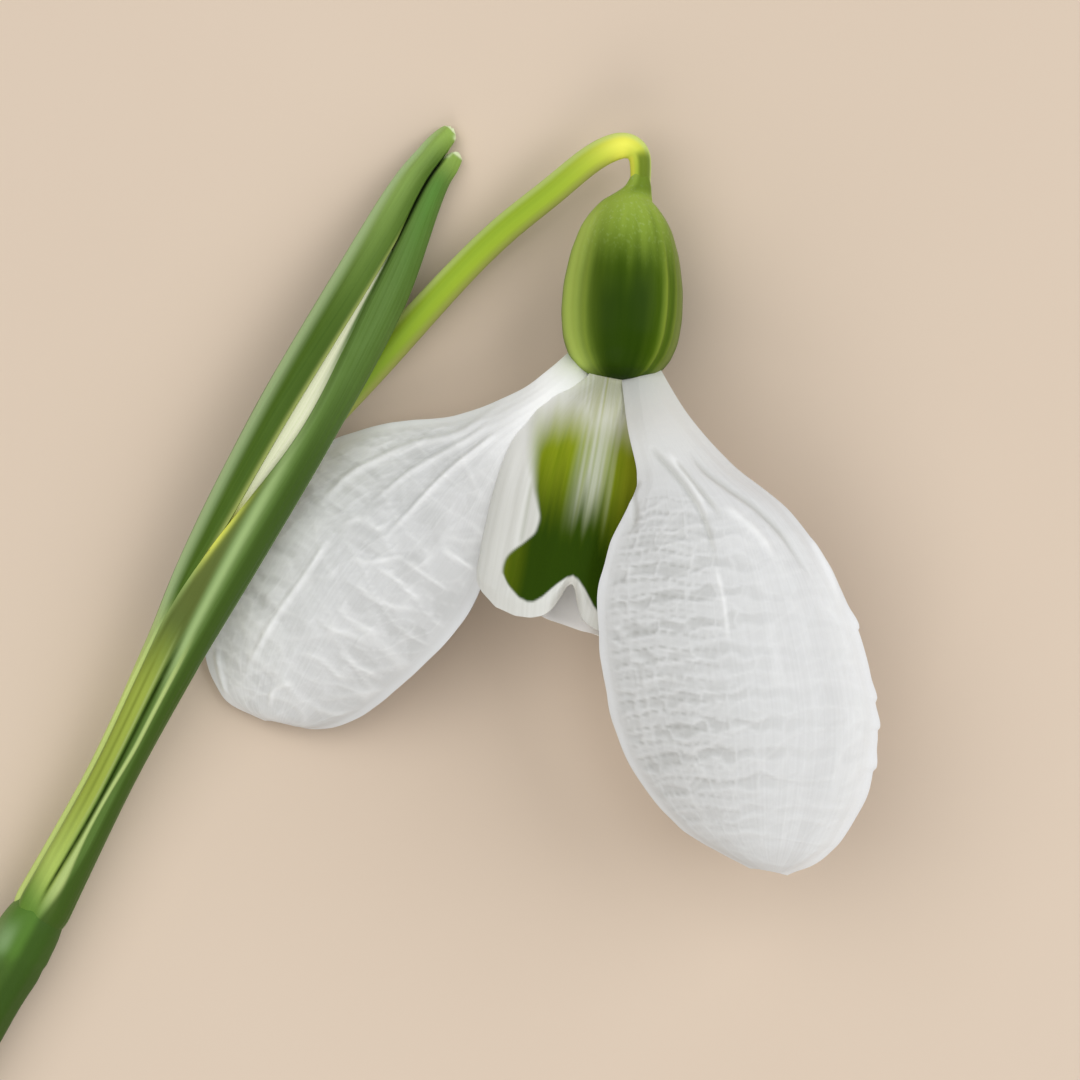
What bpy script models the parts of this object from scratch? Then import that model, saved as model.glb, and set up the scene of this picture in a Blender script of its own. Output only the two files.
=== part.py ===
"""A snowdrop flower, picked and laid on its side on a flat surface.

The flower lies in the XY plane with +Z up: the sheath and the long stem run to -X -Y, and the white petals
hang towards -Y from the green ovary. Every piece that grew by itself is one object. All sizes below are in
millimetres; the last step scales them to metres and puts the origin under the middle of the whole flower.

The places of the pieces share one working frame, whose origin is near the middle of the open flower.
"""

import math

import bmesh
import bpy
from mathutils import Vector

MM = 0.001

# Thickness of every petal, bract and membrane, and the gap kept between pieces that touch.
BLADE = 0.6
GAP = 0.15

# Scape: the flower stem, with its swollen node at the top. Centre points and radii, from the node down.
SCAPE_ROUTE = [(-25.45, -19.1, 2.05), (-26.25, -20.5, 2.0), (-27.3, -22.4, 1.9), (-31.3, -29.3, 1.75),
               (-36.7, -38.9, 1.6), (-42.3, -48.4, 1.45), (-47.4, -57.0, 1.4)]
SCAPE_RADII = [1.65, 1.8, 1.52, 1.46, 1.46, 1.48, 1.5]
SCAPE_RINGS = 22
SCAPE_SIDES = 16

# Spathe: matching points along its left and right outlines, from the node to the tips.
SPATHE_LEFT = [(-26.7, -18.1), (-22.85, -11.45), (-19.95, -5.2), (-17.75, 0.0), (-14.2, 7.0), (-10.45, 13.45),
               (-7.45, 18.35), (-5.95, 20.05), (-4.75, 20.7)]
SPATHE_RIGHT = [(-23.9, -19.7), (-20.6, -12.7), (-17.3, -6.75), (-14.4, -1.95), (-10.4, 4.85), (-6.9, 11.4),
                (-4.85, 17.1), (-4.25, 18.6), (-4.0, 19.65)]
# At the same stations: height of the sheath's middle, half its depth, where each bract's front margin lies
# across its width, and how far round the back each bract reaches, in degrees from the front.
SPATHE_HEIGHT = [2.1, 2.55, 3.2, 3.75, 3.7, 2.85, 1.35, 0.5, 0.0]
SPATHE_DEPTH = [1.5, 1.35, 1.4, 1.65, 1.75, 1.5, 1.05, 0.75, 0.5]
LEFT_MARGIN = [0.1, 0.1, 0.11, 0.33, 0.42, 0.5, 0.58, 0.6, 0.55]
RIGHT_MARGIN = [0.1, 0.1, 0.11, 0.33, 0.64, 0.52, 0.58, 0.6, 0.55]
LEFT_BACK = [172, 171, 170, 160, 130, 105, 90, 72, 62]
RIGHT_BACK = [172, 171, 170, 140, 100, 98, 90, 72, 62]
TIP_FROM = 0.9
BRACT_ROWS = 26
BRACT_COLUMNS = 8
# The papery membrane fills the front between the two margins over this share of the sheath's length.
MEMBRANE_FROM = 0.41
MEMBRANE_TO = 0.6
MEMBRANE_ROWS = 8

# Pedicel: from the node, inside the sheath, out behind the right bract and over the bend to the ovary.
PEDICEL_ROUTE = [(-25.1, -18.6, 2.1), (-21.7, -12.1, 2.55), (-18.6, -6.0, 3.2), (-16.1, -1.0, 3.5),
                 (-13.9, 2.6, 3.05), (-11.6, 5.3, 2.35), (-8.3, 8.9, 1.6), (-4.4, 13.15, 1.5), (-2.0, 15.5, 1.8),
                 (0.5, 17.5, 2.4), (2.5, 19.1, 2.9), (3.75, 19.75, 3.1), (4.55, 19.75, 3.25), (5.0, 19.2, 3.4),
                 (5.06, 18.36, 3.55)]
PEDICEL_RADII = [0.5, 0.52, 0.55, 0.6, 0.7, 0.78, 0.82, 0.76, 0.74, 0.72, 0.7, 0.68, 0.62, 0.56, 0.6]
PEDICEL_RINGS = 46
PEDICEL_SIDES = 10

# Ovary: its axis, its radius at shares of its length, its neck above that, and its shallow ribs.
OVARY_TOP = Vector((4.5, 17.0, 3.75))
OVARY_BASE = Vector((3.95, 7.85, 5.1))
OVARY_PROFILE = [(0.0, 1.2), (0.035, 1.5), (0.09, 1.88), (0.16, 2.28), (0.3, 2.68), (0.48, 2.94), (0.63, 2.97),
                 (0.76, 2.83), (0.86, 2.5), (0.94, 1.9), (0.985, 1.1), (1.0, 0.45)]
OVARY_NECK = [((5.03, 18.2, 3.6), 0.48), ((4.98, 17.85, 3.62), 0.56), ((4.8, 17.4, 3.68), 0.85)]
OVARY_RIBS = 6
OVARY_RIB_RELIEF = 0.05
OVARY_SIDES = 24

# Outer petals. Each outline runs from the narrow claw to the tip along both edges; the heights are those of
# the two edges, and the crown is how far the middle stands above the line between them.
TEPAL_ROWS = 18
TEPAL_COLUMNS = 10
LEFT_TEPAL = {
    "left": [(1.15, 9.3), (0.3, 8.3), (-1.15, 7.3), (-4.1, 6.2), (-7.75, 5.8), (-11.0, 4.75), (-14.2, 2.3),
             (-16.3, -1.4), (-17.0, -5.0), (-16.1, -7.85), (-14.0, -9.05)],
    "right": [(2.25, 8.2), (1.0, 6.85), (-0.5, 5.6), (-1.85, 3.9), (-2.45, 1.2), (-2.95, -1.6), (-4.0, -4.1),
              (-5.7, -6.1), (-8.0, -8.15), (-10.4, -9.4), (-12.4, -9.35)],
    "left_height": [6.3, 6.5, 5.9, 4.1, 1.9, 0.6, 0.45, 0.45, 0.45, 0.45, 0.5],
    "right_height": [7.2, 8.1, 8.4, 8.5, 8.6, 8.7, 8.1, 6.3, 3.8, 1.8, 0.7],
    "crown": [0.15, 0.35, 0.5, 0.7, 0.9, 1.1, 1.2, 1.1, 0.9, 0.6, 0.25],
}
RIGHT_TEPAL = {
    "left": [(4.1, 7.8), (4.35, 5.5), (4.8, 3.2), (4.4, 1.75), (3.4, -0.4), (2.85, -3.4), (3.25, -7.1),
             (4.4, -10.9), (6.9, -14.1), (10.4, -16.15)],
    "right": [(6.0, 8.2), (7.3, 6.1), (9.5, 3.6), (12.3, 1.3), (14.5, -1.9), (15.95, -5.5), (16.65, -9.4),
              (16.0, -12.8), (14.3, -15.5), (12.2, -16.55)],
    "left_height": [7.4, 9.3, 10.5, 10.7, 10.8, 10.7, 10.1, 9.0, 8.2, 7.6],
    "right_height": [7.0, 8.3, 9.3, 9.6, 9.5, 9.1, 8.6, 8.0, 7.5, 7.3],
    "crown": [0.25, 0.5, 0.8, 1.1, 1.5, 1.8, 2.0, 1.8, 1.2, 0.4],
}
BACK_TEPAL = {
    "left": [(3.5, 7.45), (3.9, 5.4), (4.5, 3.0), (4.55, 0.8), (4.1, -2.2), (4.2, -6.0), (5.2, -9.6),
             (7.2, -12.7), (9.9, -14.6)],
    "right": [(5.1, 7.5), (6.6, 5.6), (8.8, 3.4), (11.5, 1.0), (13.4, -2.2), (14.7, -5.8), (15.1, -9.3),
              (14.4, -12.4), (12.4, -14.6)],
    "left_height": [3.15, 1.85, 1.35, 1.35, 1.4, 1.5, 1.6, 1.8, 1.9],
    "right_height": [3.25, 2.3, 2.2, 2.1, 2.1, 2.1, 2.1, 2.1, 2.0],
    "crown": [-0.2, -0.5, -0.9, -1.3, -1.5, -1.55, -1.4, -1.0, -0.4],
}

# Inner cup: its axis, its half-width at shares of its length, and how flat the cup lies.
CUP_BASE = Vector((3.4, 7.75, 5.1))
CUP_MOUTH = Vector((1.2, -4.0, 5.7))
CUP_PROFILE = [1.2, 2.7, 3.5, 3.95, 4.15, 4.2, 4.2, 4.25]
CUP_FLATNESS = 0.82
CUP_ROWS = 12
CUP_COLUMNS = 14
# Each inner petal: name, the way it faces in degrees from straight up, how much wider it lies than the
# profile, its half-spread in degrees at the claw and at the mouth, and its length against the cup's.
INNER_TEPALS = [("inner_tepal_front", 0.0, 0.78, 46.0, 70.0, 1.0),
                ("inner_tepal_left", 120.0, 0.0, 55.0, 58.5, 0.9),
                ("inner_tepal_right", -120.0, 0.0, 55.0, 58.5, 1.05)]
NOTCH_DEPTH = 0.16
NOTCH_HALF_WIDTH = 0.2
SHOULDER_DROP = 0.13

# Style and stamens, inside the cup.
STYLE_LENGTH = 7.6
STYLE_RADII = [0.2, 0.2, 0.24, 0.28, 0.26, 0.12]
STAMENS = 6
FILAMENT_RING = 0.5
ANTHER_RING = 0.95
FILAMENT_LENGTH = 0.9
ANTHER_LENGTH = 4.6
STAMEN_RADII = [0.12, 0.12, 0.3, 0.4, 0.38, 0.32, 0.22, 0.08]
STAMEN_SIDES = 8


def smooth_value(values, share):
    """Read a smooth curve through evenly spaced values (numbers or vectors) at a share of its length."""
    place = min(max(share, 0.0), 1.0) * (len(values) - 1)
    step = min(int(place), len(values) - 2)
    t = place - step
    before = values[max(step - 1, 0)]
    first, second = values[step], values[step + 1]
    after = values[min(step + 2, len(values) - 1)]
    rise_in = (second - before) * 0.5
    rise_out = (after - first) * 0.5
    turn = t * t * (3 - 2 * t)
    return (first * (1 - turn) + second * turn
            + rise_in * (t * (1 - t) ** 2) + rise_out * (t * t * (t - 1)))


def smooth_point(points, share):
    """Read a smooth curve through a list of points."""
    return smooth_value([Vector(point) for point in points], share)


def slope(points, index):
    """The direction of a line of points at one of them, true at its ends too."""
    if index == 0:
        return points[1] * 4 - points[0] * 3 - points[2]
    if index == len(points) - 1:
        return points[-1] * 3 - points[-2] * 4 + points[-3]
    return points[index + 1] - points[index - 1]


def new_object(name, mesh, color, roughness):
    """Link an object and give it a material of its own."""
    piece = bpy.data.objects.new(name, mesh)
    bpy.context.scene.collection.objects.link(piece)
    material = bpy.data.materials.new(name)
    material.use_nodes = True
    shader = material.node_tree.nodes["Principled BSDF"]
    shader.inputs["Base Color"].default_value = (*color, 1.0)
    shader.inputs["Roughness"].default_value = roughness
    shader.inputs["Metallic"].default_value = 0.0
    mesh.materials.append(material)
    mesh.shade_smooth()
    mesh.set_sharp_from_angle(angle=math.radians(50))
    return piece


def mesh_from(name, corners, faces):
    """Make a closed mesh with outward faces, flattened where it would reach below the surface it lies on."""
    body = bmesh.new()
    verts = [body.verts.new((corner.x, corner.y, max(corner.z, 0.0))) for corner in corners]
    for face in faces:
        body.faces.new([verts[index] for index in face])
    bmesh.ops.recalc_face_normals(body, faces=body.faces)
    bmesh.ops.triangulate(body, faces=[face for face in body.faces if len(face.verts) > 3])
    mesh = bpy.data.meshes.new(name)
    body.to_mesh(mesh)
    body.free()
    return mesh


def blade(name, rows, color, roughness=0.5, thickness=BLADE):
    """Close a grid of middle points into a blade. Both faces are split into the same triangles."""
    last_row, last_column = len(rows) - 1, len(rows[0]) - 1
    front, back = [], []
    for i, row in enumerate(rows):
        for j, point in enumerate(row):
            along = slope([other[j] for other in rows], i)
            offset = along.cross(slope(row, j)).normalized() * thickness / 2
            front.append(point + offset)
            back.append(point - offset)
    columns = last_column + 1
    under = len(front)
    faces = []
    for i in range(last_row):
        for j in range(last_column):
            a, b = i * columns + j, i * columns + j + 1
            c, d = b + columns, a + columns
            split = [(a, b, c), (a, c, d)] if (i + j) % 2 else [(a, b, d), (b, c, d)]
            for tri in split:
                faces.append(tri)
                faces.append(tuple(under + index for index in reversed(tri)))
    rim = ([(0, j) for j in range(last_column)] + [(i, last_column) for i in range(last_row)]
           + [(last_row, j) for j in range(last_column, 0, -1)] + [(i, 0) for i in range(last_row, 0, -1)])
    for here, there in zip(rim, rim[1:] + rim[:1]):
        a = here[0] * columns + here[1]
        b = there[0] * columns + there[1]
        faces.append((b, a, under + a, under + b))
    return new_object(name, mesh_from(name, front + back, faces), color, roughness)


def tube(name, centres, radii, sides, color, roughness=0.5):
    """Close a round stalk around centre points, with one radius at each."""
    corners = []
    for i, centre in enumerate(centres):
        along = centres[min(i + 1, len(centres) - 1)] - centres[max(i - 1, 0)]
        side = along.cross(Vector((0, 0, 1))).normalized()
        up = side.cross(along).normalized()
        for j in range(sides):
            angle = 2 * math.pi * (j + 0.5) / sides
            corners.append(centre + side * radii[i] * math.sin(angle) + up * radii[i] * math.cos(angle))
    faces = []
    for i in range(len(centres) - 1):
        for j in range(sides):
            k = (j + 1) % sides
            faces.append((i * sides + j, i * sides + k, (i + 1) * sides + k, (i + 1) * sides + j))
    faces.append(tuple(range(sides)))
    faces.append(tuple(reversed(range((len(centres) - 1) * sides, len(centres) * sides))))
    return new_object(name, mesh_from(name, corners, faces), color, roughness)


def make_scape():
    shares = [i / (SCAPE_RINGS - 1) for i in range(SCAPE_RINGS)]
    # Rings lie closer together over the node than along the straight stem.
    shares = [share ** 1.6 for share in shares]
    tube("scape", [smooth_point(SCAPE_ROUTE, share) for share in shares],
         [smooth_value(SCAPE_RADII, share) for share in shares], SCAPE_SIDES, (0.16, 0.3, 0.05))


def spathe_point(share, angle):
    """A point on the sheath's middle surface; the angle is 0 at the front and grows to the right."""
    left = smooth_point(SPATHE_LEFT, share)
    right = smooth_point(SPATHE_RIGHT, share)
    width = right - left
    half = width.length / 2 - BLADE / 2
    depth = max(smooth_value(SPATHE_DEPTH, share) - BLADE / 2, 0.1)
    place = (left + right) / 2 + width.normalized() * max(half, 0.1) * math.sin(angle)
    height = smooth_value(SPATHE_HEIGHT, share) + depth * math.cos(angle)
    return Vector((place.x, place.y, height))


def margin_angle(margins, share):
    """Turn a margin's place across the sheath's width into the angle at which it lies."""
    return math.asin(min(max(2 * smooth_value(margins, share) - 1, -0.98), 0.98))


def gap_angle(share):
    """Half the gap between neighbouring margins, as an angle."""
    width = (smooth_point(SPATHE_RIGHT, share) - smooth_point(SPATHE_LEFT, share)).length
    return GAP / 2 / max(width / 2 - BLADE / 2, 0.35)


def bract_row(share, start, end):
    """A row of points across a bract, which draws in to a rounded tip at its end."""
    tip = max(0.0, (share - TIP_FROM) / (1 - TIP_FROM))
    fullness = math.sqrt(1 - 0.85 * tip ** 2)
    middle, half = (start + end) / 2, (end - start) / 2 * fullness
    return [spathe_point(share, middle + half * (2 * j / BRACT_COLUMNS - 1)) for j in range(BRACT_COLUMNS + 1)]


def make_spathe():
    green = (0.1, 0.22, 0.04)
    left_rows, right_rows, membrane_rows = [], [], []
    for i in range(BRACT_ROWS + 1):
        share = i / BRACT_ROWS
        gap = gap_angle(share)
        left_rows.append(bract_row(share, -math.radians(smooth_value(LEFT_BACK, share)),
                                   margin_angle(LEFT_MARGIN, share) - gap))
        right_rows.append(bract_row(share, margin_angle(RIGHT_MARGIN, share) + gap,
                                    math.radians(smooth_value(RIGHT_BACK, share))))
    for i in range(MEMBRANE_ROWS + 1):
        share = MEMBRANE_FROM + (MEMBRANE_TO - MEMBRANE_FROM) * i / MEMBRANE_ROWS
        gap = gap_angle(share)
        start = margin_angle(LEFT_MARGIN, share) + gap
        end = max(margin_angle(RIGHT_MARGIN, share) - gap, start + 0.02)
        membrane_rows.append([spathe_point(share, start + (end - start) * j / 3) for j in range(4)])
    blade("spathe_left_bract", left_rows, green)
    blade("spathe_right_bract", right_rows, green)
    blade("spathe_membrane", membrane_rows, (0.75, 0.7, 0.5))


def make_pedicel():
    shares = [i / (PEDICEL_RINGS - 1) for i in range(PEDICEL_RINGS)]
    tube("pedicel", [smooth_point(PEDICEL_ROUTE, share) for share in shares],
         [smooth_value(PEDICEL_RADII, share) for share in shares], PEDICEL_SIDES, (0.35, 0.5, 0.06))


def make_ovary():
    """A ribbed egg, turned about its own axis, with a neck drawn up to the stalk."""
    axis = OVARY_BASE - OVARY_TOP
    side = axis.cross(Vector((0, 0, 1))).normalized()
    up = side.cross(axis).normalized()
    rings = [(Vector(centre), radius, 0.0) for centre, radius in OVARY_NECK]
    for share, radius in OVARY_PROFILE:
        rings.append((OVARY_TOP + axis * share, radius, OVARY_RIB_RELIEF * math.sin(math.pi * share)))
    corners = []
    for centre, radius, relief in rings:
        for j in range(OVARY_SIDES):
            angle = 2 * math.pi * j / OVARY_SIDES
            reach = radius + relief * math.cos(OVARY_RIBS * angle)
            corners.append(centre + side * reach * math.sin(angle) + up * reach * math.cos(angle))
    faces = []
    for i in range(len(rings) - 1):
        for j in range(OVARY_SIDES):
            k = (j + 1) % OVARY_SIDES
            faces.append((i * OVARY_SIDES + j, i * OVARY_SIDES + k,
                          (i + 1) * OVARY_SIDES + k, (i + 1) * OVARY_SIDES + j))
    faces.append(tuple(range(OVARY_SIDES)))
    faces.append(tuple(reversed(range((len(rings) - 1) * OVARY_SIDES, len(rings) * OVARY_SIDES))))
    new_object("ovary", mesh_from("ovary", corners, faces), (0.06, 0.15, 0.02), 0.4)


def make_outer_tepal(name, shape):
    """A petal over its own outline, with its middle raised or sunk into a spoon."""
    rows = []
    for i in range(TEPAL_ROWS + 1):
        share = i / TEPAL_ROWS
        left, right = smooth_point(shape["left"], share), smooth_point(shape["right"], share)
        low, high = smooth_value(shape["left_height"], share), smooth_value(shape["right_height"], share)
        crown = smooth_value(shape["crown"], share)
        row = []
        for j in range(TEPAL_COLUMNS + 1):
            across = j / TEPAL_COLUMNS
            place = left.lerp(right, across)
            arch = 1 - (2 * across - 1) ** 2
            row.append(Vector((place.x, place.y, low + (high - low) * across + crown * arch)))
        rows.append(row)
    blade(name, rows, (0.86, 0.87, 0.83))


def notch_share(across):
    """How far down the cup an inner petal reaches at a place across it, from -1 to 1."""
    shoulder = SHOULDER_DROP * max(0.0, (abs(across) - 0.45) / 0.55) ** 2
    notch = NOTCH_DEPTH * max(0.0, 1 - abs(across) / NOTCH_HALF_WIDTH)
    return 1 - shoulder - notch


def make_inner_tepals():
    axis = CUP_MOUTH - CUP_BASE
    side = axis.cross(Vector((0, 0, 1))).normalized()
    up = side.cross(axis).normalized()
    for name, facing, wider, claw_spread, mouth_spread, length in INNER_TEPALS:
        rows = []
        for i in range(CUP_ROWS + 1):
            share = i / CUP_ROWS
            open_share = min(share * 4, 1.0)
            spread = math.radians(claw_spread + (mouth_spread - claw_spread) * open_share)
            row = []
            for j in range(CUP_COLUMNS + 1):
                across = 2 * j / CUP_COLUMNS - 1
                # Columns gather round the notch, so its sides are sharp.
                across = across * (0.55 + 0.45 * abs(across))
                down = share * notch_share(across) * length
                angle = math.radians(facing) + spread * across
                reach = smooth_value(CUP_PROFILE, down) + wider
                row.append(CUP_BASE + axis * down + side * reach * math.sin(angle)
                           + up * reach * CUP_FLATNESS * math.cos(angle))
            rows.append(row)
        blade(name, rows, (0.8, 0.83, 0.74))


def make_style_and_stamens():
    axis = (CUP_MOUTH - CUP_BASE).normalized()
    side = axis.cross(Vector((0, 0, 1))).normalized()
    up = side.cross(axis).normalized()
    start = CUP_BASE + axis * GAP
    steps = len(STYLE_RADII) - 1
    tube("style", [start + axis * STYLE_LENGTH * i / steps for i in range(steps + 1)], STYLE_RADII,
         STAMEN_SIDES, (0.75, 0.8, 0.6))
    for number in range(STAMENS):
        angle = 2 * math.pi * (number + 0.5) / STAMENS
        out = side * math.sin(angle) + up * math.cos(angle)
        steps = len(STAMEN_RADII) - 2
        centres = [start + out * FILAMENT_RING, start + out * FILAMENT_RING + axis * FILAMENT_LENGTH * 0.6]
        for i in range(steps):
            share = i / (steps - 1)
            ring = ANTHER_RING - 0.3 * share ** 2
            centres.append(start + out * ring + axis * (FILAMENT_LENGTH + ANTHER_LENGTH * share))
        tube(f"stamen_{number + 1}", centres, STAMEN_RADII, STAMEN_SIDES, (0.8, 0.45, 0.05))


def settle():
    """Scale the flower to metres and put the origin on the surface, under the middle of its box."""
    pieces = [piece for piece in bpy.data.objects if piece.type == "MESH"]
    corners = [vertex.co for piece in pieces for vertex in piece.data.vertices]
    middle_x = (min(corner.x for corner in corners) + max(corner.x for corner in corners)) / 2
    middle_y = (min(corner.y for corner in corners) + max(corner.y for corner in corners)) / 2
    for piece in pieces:
        for vertex in piece.data.vertices:
            vertex.co = (vertex.co - Vector((middle_x, middle_y, 0.0))) * MM


for old in list(bpy.data.objects):
    bpy.data.objects.remove(old)

make_scape()
make_spathe()
make_pedicel()
make_ovary()
make_outer_tepal("outer_tepal_left", LEFT_TEPAL)
make_outer_tepal("outer_tepal_right", RIGHT_TEPAL)
make_outer_tepal("outer_tepal_back", BACK_TEPAL)
make_inner_tepals()
make_style_and_stamens()
settle()
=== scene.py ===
"""Looks of a picked snowdrop that lies on its side on a pale surface.

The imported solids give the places. Each plant part is rebuilt here as a finer piece over its own solid, with its
veins, folds and puckers in the mesh and its colours in node materials. Sizes are in millimetres in a working
frame whose origin lies between the open petals, and place() turns them into the part's own metres.
"""

import math

import bpy
import numpy as np
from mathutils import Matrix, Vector, noise


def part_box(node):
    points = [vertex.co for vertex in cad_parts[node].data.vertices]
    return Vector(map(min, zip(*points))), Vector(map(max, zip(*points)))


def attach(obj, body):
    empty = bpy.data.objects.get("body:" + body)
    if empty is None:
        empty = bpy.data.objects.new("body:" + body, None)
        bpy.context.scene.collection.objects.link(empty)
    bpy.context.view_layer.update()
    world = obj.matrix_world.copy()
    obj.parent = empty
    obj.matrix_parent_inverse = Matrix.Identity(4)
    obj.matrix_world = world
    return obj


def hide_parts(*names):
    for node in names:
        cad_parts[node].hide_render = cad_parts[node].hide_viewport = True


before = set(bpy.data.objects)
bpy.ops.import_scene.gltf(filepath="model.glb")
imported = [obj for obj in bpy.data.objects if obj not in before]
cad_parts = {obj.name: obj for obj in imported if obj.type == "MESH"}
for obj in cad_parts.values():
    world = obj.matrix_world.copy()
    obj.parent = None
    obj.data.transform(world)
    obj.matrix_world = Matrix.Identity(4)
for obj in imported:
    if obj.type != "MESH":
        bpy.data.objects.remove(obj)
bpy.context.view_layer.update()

# --------------------------------------------------
# The flower stem: a firm, slightly flattened green stalk that swells to a node under the sheath and ends in
# the clean cut of the picking. It grew from the bulb; everything else is carried on its node.
MM = 0.001
SHARP_ANGLE = math.radians(60)
# The ovary's middle in the working frame; its solid says where that is in the part's own metres.
OVARY_MIDDLE = Vector((4.1775, 13.0277, 0.0))
STEM_ROUTE = [(-24.9, -18.1, 2.1), (-25.45, -19.1, 2.05), (-26.25, -20.5, 2.0), (-27.3, -22.4, 1.9),
              (-31.3, -29.3, 1.75), (-36.7, -38.9, 1.6), (-42.3, -48.4, 1.45), (-47.4, -57.0, 1.4)]
STEM_RADII = [1.0, 1.46, 1.62, 1.55, 1.46, 1.46, 1.48, 1.5]
STEM_RIBS = 9

ovary_low, ovary_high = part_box("ovary")
ORIGIN = Vector(((ovary_low.x + ovary_high.x) / 2, (ovary_low.y + ovary_high.y) / 2, 0.0)) - OVARY_MIDDLE * MM


def smooth(values, share):
    """Read a smooth curve through evenly spaced values or points at shares of its length."""
    values = np.asarray(values, float)
    spot = np.clip(np.asarray(share, float), 0.0, 1.0) * (len(values) - 1)
    step = np.minimum(spot.astype(int), len(values) - 2)
    t = spot - step
    if values.ndim > 1:
        t = t[..., None]
    first, second = values[step], values[step + 1]
    before, after = values[np.maximum(step - 1, 0)], values[np.minimum(step + 2, len(values) - 1)]
    turn = t * t * (3 - 2 * t)
    return (first * (1 - turn) + second * turn
            + (second - before) / 2 * t * (1 - t) ** 2 + (after - first) / 2 * t * t * (t - 1))


def fade(value, start, end):
    """Rise softly from 0 at start to 1 at end."""
    t = np.clip((np.asarray(value, float) - start) / (end - start), 0.0, 1.0)
    return t * t * (3 - 2 * t)


def band(value, middle, half_width):
    """A soft bump that is 1 at its middle and fades out over its half width."""
    return np.exp(-((np.asarray(value, float) - middle) / half_width) ** 2)


def grain(points, size, seed):
    """Smooth random values from -1 to 1 at points, with features of about the given size."""
    stretch = np.asarray(points, float) / size
    return np.array([noise.noise(Vector((x, y, z + seed))) for x, y, z in stretch])


def flat_grain(across, along, size, seed):
    """The same over a blade, from two measures of each corner."""
    return grain(np.column_stack((across, along, np.zeros(len(across)))), size, seed)


def corners_of(piece):
    places = np.empty(len(piece.data.vertices) * 3)
    piece.data.vertices.foreach_get("co", places)
    return places.reshape(-1, 3)


def put_corners(piece, places):
    piece.data.vertices.foreach_set("co", np.ascontiguousarray(places).ravel())
    piece.data.update()


def place(piece, points):
    """Move the piece's corners to points of the working frame, kept on or above the surface it lies on."""
    points = np.array(points)
    points[:, 2] = np.maximum(points[:, 2], 0.0)
    put_corners(piece, points * MM + np.array(ORIGIN))


def round_piece(name, sides, rings, end_rings, squareness):
    """A closed ball to be drawn out into a stalk; the rings at each of its ends close it.

    Gives each corner's share along the ball, its share along the body between the closing rings, its angle
    round it, and its fullness, which is 1 on the body and falls to 0 over the closing rings.
    """
    bpy.ops.object.select_all(action="DESELECT")
    bpy.ops.mesh.primitive_uv_sphere_add(segments=sides, ring_count=rings, radius=1.0)
    piece = bpy.context.object
    piece.name = piece.data.name = name
    corners = corners_of(piece)
    along = np.arccos(np.clip(corners[:, 2], -1.0, 1.0)) / math.pi
    edge = end_rings / rings
    share = np.clip((along - edge) / (1 - 2 * edge), 0.0, 1.0)
    inset = 1 - np.clip(np.minimum(along, 1 - along) / edge, 0.0, 1.0)
    full = (1 - inset ** squareness) ** (1 / squareness)
    return piece, along, share, np.arctan2(corners[:, 0], corners[:, 1]), full


def cross_axes(ahead):
    """Unit directions to the side of a direction and upwards from it."""
    side = np.cross(ahead, (0.0, 0.0, 1.0))
    side /= np.linalg.norm(side, axis=-1, keepdims=True)
    up = np.cross(side, ahead)
    return side, up / np.linalg.norm(up, axis=-1, keepdims=True)


def route_axes(route, share):
    """Centre points of a smooth line, with the directions to its side and upwards at each."""
    step = 0.004
    side, up = cross_axes(smooth(route, share + step) - smooth(route, share - step))
    return smooth(route, share), side, up


def round_points(centre, side, up, reach, around):
    """Points at a reach from the centre, turned by an angle that is 0 upwards and grows to the side."""
    return centre + side * (reach * np.sin(around))[:, None] + up * (reach * np.cos(around))[:, None]


def mask(piece, name, values):
    """Keep one value a corner on the mesh, for its material to read."""
    store = piece.data.attributes.new(name, "FLOAT", "POINT")
    store.data.foreach_set("value", np.asarray(values, np.float32))


def finish(piece, node):
    """Face the mesh outwards, smooth it, and let it stand for its solid."""
    corners = corners_of(piece)
    corners[:, 2] = np.maximum(corners[:, 2], 0.0)
    put_corners(piece, corners)
    bpy.ops.object.select_all(action="DESELECT")
    piece.select_set(True)
    bpy.context.view_layer.objects.active = piece
    bpy.ops.object.mode_set(mode="EDIT")
    bpy.ops.mesh.select_all(action="SELECT")
    bpy.ops.mesh.normals_make_consistent(inside=False)
    bpy.ops.object.mode_set(mode="OBJECT")
    bpy.ops.object.shade_smooth_by_angle(angle=SHARP_ANGLE)
    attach(piece, "root")
    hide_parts(node)


def new_finish(piece, name, roughness, specular=0.5):
    """Start a node material on a piece; gives back its tree and its shader."""
    material = bpy.data.materials.new(name)
    material.use_nodes = True
    piece.data.materials.clear()
    piece.data.materials.append(material)
    shader = material.node_tree.nodes["Principled BSDF"]
    shader.inputs["Roughness"].default_value = roughness
    shader.inputs["Specular IOR Level"].default_value = specular
    return material.node_tree, shader


def read_mask(tree, name):
    """The socket that carries one of the piece's masks."""
    reader = tree.nodes.new("ShaderNodeAttribute")
    reader.attribute_name = name
    return reader.outputs["Fac"]


def read_grain(tree, size, stretch=(1.0, 1.0, 1.0), detail=3.0, uv=False):
    """The socket of a soft noise; size is in millimetres on the piece, or in shares of its UV map."""
    where = tree.nodes.new("ShaderNodeTexCoord")
    shift = tree.nodes.new("ShaderNodeMapping")
    cloud = tree.nodes.new("ShaderNodeTexNoise")
    tree.links.new(where.outputs["UV" if uv else "Object"], shift.inputs["Vector"])
    tree.links.new(shift.outputs["Vector"], cloud.inputs["Vector"])
    scale = 1 / size if uv else 1 / (size * MM)
    shift.inputs["Scale"].default_value = [scale * part for part in stretch]
    cloud.inputs["Scale"].default_value = 1.0
    cloud.inputs["Detail"].default_value = detail
    return cloud.outputs["Fac"]


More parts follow.
